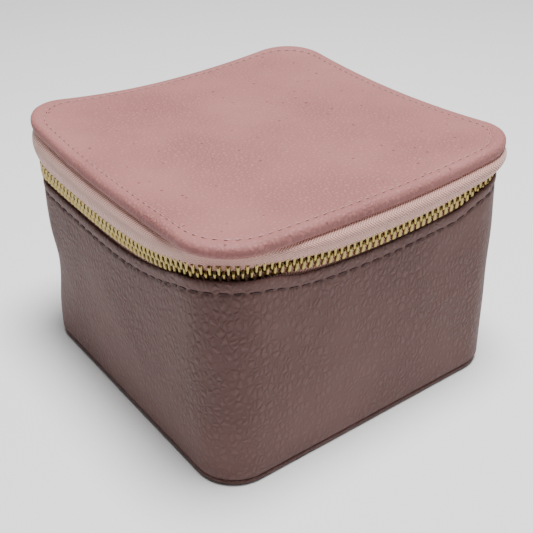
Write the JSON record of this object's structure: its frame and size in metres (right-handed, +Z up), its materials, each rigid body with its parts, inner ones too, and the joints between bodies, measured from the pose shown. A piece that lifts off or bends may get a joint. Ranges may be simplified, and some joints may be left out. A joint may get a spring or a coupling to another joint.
{
  "type": "zip-around jewellery case",
  "caption": "Square soft leather jewellery case with a hinged padded lid, a mirror inside it, a metal zip round the other sides and a lift-out ring tray over divided storage",
  "frame": {"origin": "centre of the base's underside, on the surface that the case stands on", "axes": "+Z up, -Y the front, +Y the hinge side, +X the side where the closed zip's slider is parked"},
  "size_m": [0.1303, 0.127, 0.0884],
  "materials": {
    "leather": "soft tumbled leather with a fine pebble grain, satin",
    "lining": "short-napped suede cloth, matt",
    "tape": "woven zip tape with a fine herringbone",
    "board": "grey board, hidden under leather and lining",
    "foam": "thin foam sheet, hidden",
    "zip_metal": "pale gold plate, polished",
    "mirror_glass": "silvered flat glass",
    "ribbon": "narrow ribbed ribbon"
  },
  "bodies": {
    "case": {"base_cover": "leather", "base_board": "board", "wall_cover": "leather", "wall_board": "board", "wall_lining": "lining", "floor_lining": "lining", "tray_ledge": "lining", "lower_divider_long": "lining", "lower_divider_cross": "lining", "body_zip_tape": "tape", "body_zip_teeth": "zip_metal", "body_top_stop": "zip_metal", "zip_bottom_stop": "zip_metal", "hinge_strip": "leather"},
    "lid": {"lid_cover": "leather", "lid_foam": "foam", "lid_board": "board", "lid_lining": "lining", "lid_mirror": "mirror_glass", "mirror_frame": "leather", "lid_zip_tape": "tape", "lid_zip_teeth": "zip_metal", "lid_top_stop": "zip_metal"},
    "slider": {"zip_slider": "zip_metal"},
    "pull": {"zip_pull": "zip_metal"},
    "tray": {"tray_shell": "lining", "tray_floor_lining": "lining", "tray_divider_long": "lining", "tray_divider_cross": "lining", "ring_roll_1": "lining", "ring_roll_2": "lining", "ring_roll_3": "lining", "ring_roll_4": "lining", "ring_roll_5": "lining", "ring_roll_6": "lining", "tray_ribbon_front": "ribbon", "tray_ribbon_back": "ribbon"}
  },
  "joints": [
    {"name": "lid_hinge", "type": "hinge", "parent": "case", "child": "lid", "pos_m": [0, 0.0612, 0.0742], "axis": [-1, 0, 0], "range_deg": [0, 115], "deforming": ["hinge_strip"]},
    {"name": "zip_slide", "type": "slide", "parent": "case", "child": "slider", "axis": [0, -1, 0], "range_m": [0, 0.062], "deforming": ["body_zip_teeth", "lid_zip_teeth"]},
    {"name": "pull_swing", "type": "hinge", "parent": "slider", "child": "pull", "pos_m": [0.06485, 0.038, 0.0742], "axis": [0, 0, 1], "range_deg": [0, 170]},
    {"name": "tray_lift", "type": "slide", "parent": "case", "child": "tray", "axis": [0, 0, 1], "range_m": [0, 0.008]}
  ]
}
